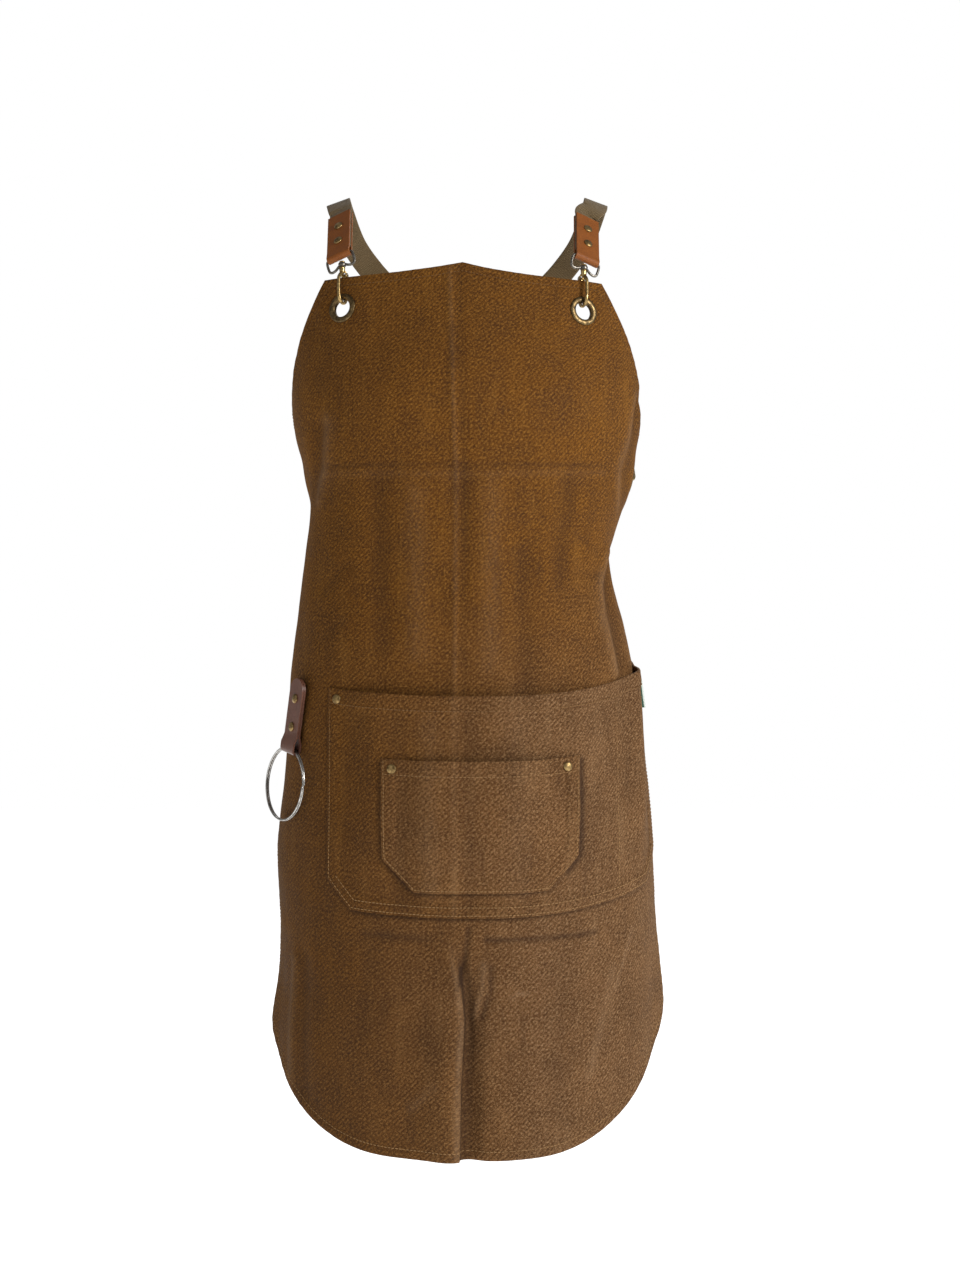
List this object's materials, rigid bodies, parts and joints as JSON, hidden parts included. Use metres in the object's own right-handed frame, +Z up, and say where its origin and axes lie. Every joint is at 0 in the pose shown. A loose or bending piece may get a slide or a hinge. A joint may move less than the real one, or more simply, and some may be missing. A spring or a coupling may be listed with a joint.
{
  "type": "butcher apron",
  "caption": "Long waxed canvas butcher apron with cross-back webbing straps on snap hooks, layered front pockets and a hip ring for a towel.",
  "frame": {"origin": "the point midway between the two strap tops, where the straps lie over the wearer's shoulders", "axes": "+Z up, the wearer faces -Y, +X to the wearer's left"},
  "size_m": [0.3956, 0.263, 0.9339],
  "materials": {
    "waxed_canvas": "waxed cotton canvas, matt with a slight sheen",
    "webbing": "woven cotton webbing",
    "tan_leather": "smooth vegetable-tanned leather",
    "brown_leather": "oiled dark brown leather",
    "antique_brass": "antique brass",
    "gunmetal": "dark plated steel",
    "steel": "polished steel wire",
    "label": "woven tape"
  },
  "bodies": {
    "apron": {"body_panel": "waxed_canvas", "front_pocket": "waxed_canvas", "small_pocket": "waxed_canvas", "pocket_rivet_left": "antique_brass", "pocket_rivet_right": "antique_brass", "small_pocket_rivet_left": "antique_brass", "small_pocket_rivet_right": "antique_brass", "label_tag": "label", "bib_eyelet_left": "antique_brass", "bib_eyelet_left_washer": "antique_brass", "waist_eyelet_left": "antique_brass", "waist_eyelet_left_washer": "antique_brass", "bib_eyelet_right": "antique_brass", "bib_eyelet_right_washer": "antique_brass", "waist_eyelet_right": "antique_brass", "waist_eyelet_right_washer": "antique_brass", "front_left_tab": "tan_leather", "front_left_tab_rivet_1": "antique_brass", "front_left_tab_rivet_2": "antique_brass", "front_left_bow": "gunmetal", "waist_left_tab": "tan_leather", "waist_left_tab_rivet_1": "antique_brass", "waist_left_tab_rivet_2": "antique_brass", "waist_left_bow": "gunmetal", "front_right_tab": "tan_leather", "front_right_tab_rivet_1": "antique_brass", "front_right_tab_rivet_2": "antique_brass", "front_right_bow": "gunmetal", "waist_right_tab": "tan_leather", "waist_right_tab_rivet_1": "antique_brass", "waist_right_tab_rivet_2": "antique_brass", "waist_right_bow": "gunmetal", "strap_over_left_shoulder": "webbing", "strap_over_right_shoulder": "webbing", "cross_patch": "tan_leather", "cross_rivet": "antique_brass", "ring_tab": "brown_leather", "ring_tab_rivet_1": "antique_brass", "ring_tab_rivet_2": "antique_brass"},
    "ring": {"towel_ring": "steel"},
    "slide_left": {"slider_left": "gunmetal"},
    "slide_right": {"slider_right": "gunmetal"},
    "front_left_hook_body": {"front_left_hook": "antique_brass", "front_left_gate_pin": "steel"},
    "front_left_gate_body": {"front_left_gate": "antique_brass"},
    "waist_left_hook_body": {"waist_left_hook": "antique_brass", "waist_left_gate_pin": "steel"},
    "waist_left_gate_body": {"waist_left_gate": "antique_brass"},
    "front_right_hook_body": {"front_right_hook": "antique_brass", "front_right_gate_pin": "steel"},
    "front_right_gate_body": {"front_right_gate": "antique_brass"},
    "waist_right_hook_body": {"waist_right_hook": "antique_brass", "waist_right_gate_pin": "steel"},
    "waist_right_gate_body": {"waist_right_gate": "antique_brass"}
  },
  "joints": [
    {"name": "ring_swing", "type": "hinge", "parent": "apron", "child": "ring", "pos_m": [-0.17222, -0.04499, -0.54648], "axis": [-0.5503, 0.8194, 0.1602], "range_deg": [0, 80]},
    {"name": "slide_left_travel", "type": "slide", "parent": "apron", "child": "slide_left", "axis": [0.6697, 0.279, -0.6883], "range_m": [-0.015, 0.015]},
    {"name": "slide_right_travel", "type": "slide", "parent": "apron", "child": "slide_right", "axis": [-0.6697, 0.279, -0.6883], "range_m": [-0.015, 0.015]},
    {"name": "front_left_hook_swivel", "type": "hinge", "parent": "apron", "child": "front_left_hook_body", "pos_m": [-0.12047, -0.06299, -0.07875], "axis": [-0.0238, 0.212, 0.977], "range_deg": [-20, 20]},
    {"name": "front_left_gate_spring", "type": "hinge", "parent": "front_left_hook_body", "child": "front_left_gate_body", "pos_m": [-0.11807, -0.06065, -0.08698], "axis": [-0.8757, 0.467, -0.1227], "range_deg": [0, 22], "stiffness_Nm_per_rad": 0.01, "springref_deg": -20.05},
    {"name": "waist_left_hook_swivel", "type": "hinge", "parent": "apron", "child": "waist_left_hook_body", "pos_m": [-0.14992, 0.05587, -0.26068], "axis": [0.1206, 0.8427, 0.5248], "range_deg": [-20, 20]},
    {"name": "waist_left_gate_spring", "type": "hinge", "parent": "waist_left_hook_body", "child": "waist_left_gate_body", "pos_m": [-0.1465, 0.04825, -0.2637], "axis": [0.3153, 0.4687, -0.8251], "range_deg": [0, 22], "stiffness_Nm_per_rad": 0.01, "springref_deg": -20.05},
    {"name": "front_right_hook_swivel", "type": "hinge", "parent": "apron", "child": "front_right_hook_body", "pos_m": [0.11341, -0.06601, -0.08235], "axis": [0.029, 0.2338, 0.9719], "range_deg": [-20, 20]},
    {"name": "front_right_gate_spring", "type": "hinge", "parent": "front_right_hook_body", "child": "front_right_gate_body", "pos_m": [0.1111, -0.06378, -0.09063], "axis": [-0.8912, -0.4343, 0.131], "range_deg": [0, 22], "stiffness_Nm_per_rad": 0.01, "springref_deg": -20.05},
    {"name": "waist_right_hook_swivel", "type": "hinge", "parent": "apron", "child": "waist_right_hook_body", "pos_m": [0.16268, 0.04403, -0.25807], "axis": [0.0241, 0.8381, 0.5449], "range_deg": [-20, 20]},
    {"name": "waist_right_gate_spring", "type": "hinge", "parent": "waist_right_hook_body", "child": "waist_right_gate_body", "pos_m": [0.15804, 0.03713, -0.26121], "axis": [0.2457, -0.5333, 0.8094], "range_deg": [0, 22], "stiffness_Nm_per_rad": 0.01, "springref_deg": -20.05}
  ]
}
